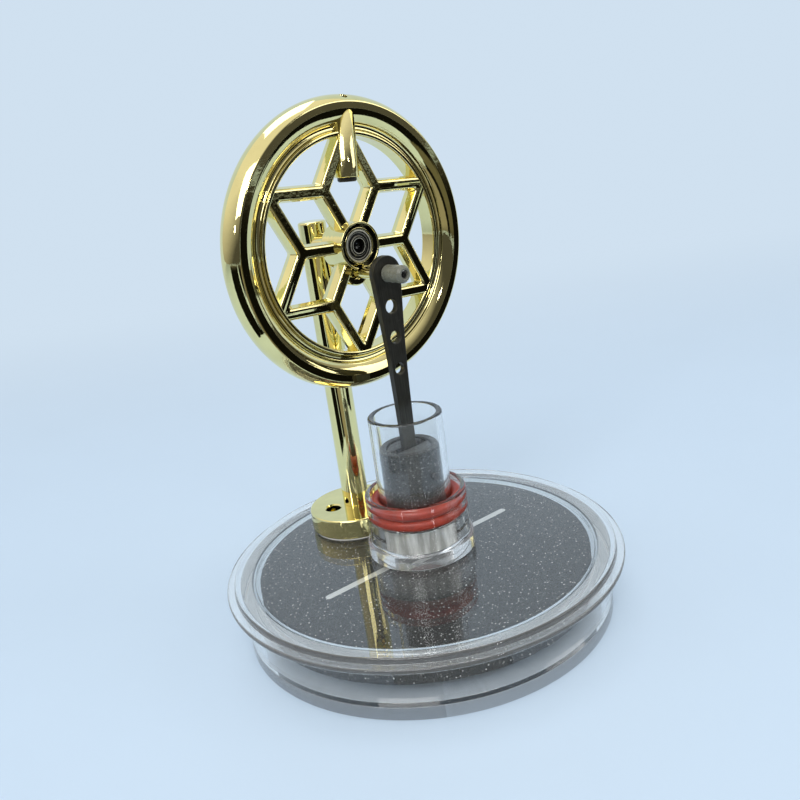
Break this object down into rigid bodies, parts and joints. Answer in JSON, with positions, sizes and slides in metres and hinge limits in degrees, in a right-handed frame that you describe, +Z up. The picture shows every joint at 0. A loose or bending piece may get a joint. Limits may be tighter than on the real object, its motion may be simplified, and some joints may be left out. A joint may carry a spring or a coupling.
{
  "type": "stirling engine",
  "caption": "Palm-size demonstration hot-air engine: clear round chamber with a loose foam displacer, glass cylinder, graphite piston, slotted rod and star-spoked flywheel on a column.",
  "frame": {"origin": "middle of the base plate's bottom face, on the chamber's axis", "axes": "+Z up along the cylinder, -Y to the front where the crank and rod are, +X to the right seen from the front"},
  "size_m": [0.0906, 0.0906, 0.1149],
  "materials": {
    "champagne_metal": "polished, champagne coloured",
    "clear_plastic": "clear, glossy",
    "tube_glass": "clear, smooth",
    "red_rubber": "brick red, satin",
    "graphite": "dark grey graphite, satin",
    "plug_plastic": "dark grey, satin",
    "dark_rod": "near black, semi-gloss",
    "bright_steel": "polished",
    "bearing_steel": "ground and polished",
    "shield_steel": "stamped, brushed",
    "cage_brass": "plain",
    "grey_sleeve": "translucent grey, glossy",
    "nickel_magnet": "nickel plated",
    "dark_slug": "dark, turned",
    "grey_foam": "fine open foam",
    "strip_steel": "thin rolled strip",
    "white_pad": "thin white adhesive pad"
  },
  "bodies": {
    "frame": {"base_plate": "clear_plastic", "chamber_wall": "clear_plastic", "lid": "clear_plastic", "cylinder_socket": "clear_plastic", "o_ring_upper": "red_rubber", "o_ring_lower": "red_rubber", "cylinder_tube": "tube_glass", "column_foot": "champagne_metal", "foot_pad": "white_pad", "column": "champagne_metal", "axle": "bright_steel", "axle_spacer": "champagne_metal", "axle_set_screw": "bright_steel", "bearing_inner_race": "bearing_steel"},
    "wheel": {"flywheel": "champagne_metal", "balance_weight": "dark_slug", "bearing_outer_race": "bearing_steel", "bearing_shield_front": "shield_steel", "bearing_shield_rear": "shield_steel", "bearing_balls": "bearing_steel", "bearing_cage": "cage_brass", "crank_spacer": "champagne_metal", "crank_stud": "bright_steel"},
    "piston": {"piston_sleeve": "graphite", "piston_insert": "plug_plastic", "piston_magnet": "nickel_magnet", "wrist_pin": "bright_steel"},
    "rod": {"connecting_rod": "dark_rod", "crank_pin": "bright_steel", "retaining_sleeve": "grey_sleeve"},
    "displacer": {"displacer": "grey_foam", "displacer_armature": "strip_steel"}
  },
  "joints": [
    {"name": "flywheel_spin", "type": "hinge", "parent": "frame", "child": "wheel", "pos_m": [0, 0.0095, 0.084], "axis": [0, -1, 0], "continuous": true},
    {"name": "piston_slide", "type": "slide", "parent": "frame", "child": "piston", "axis": [0, 0, 1], "range_m": [0, 0.0112]},
    {"name": "rod_swing", "type": "hinge", "parent": "piston", "child": "rod", "pos_m": [0, 0, 0.034], "axis": [0, -1, 0], "range_deg": [-7.25, 7.25]},
    {"name": "displacer_lift", "type": "slide", "parent": "frame", "child": "displacer", "axis": [0, 0, 1], "range_m": [-0.0024, 0]}
  ]
}
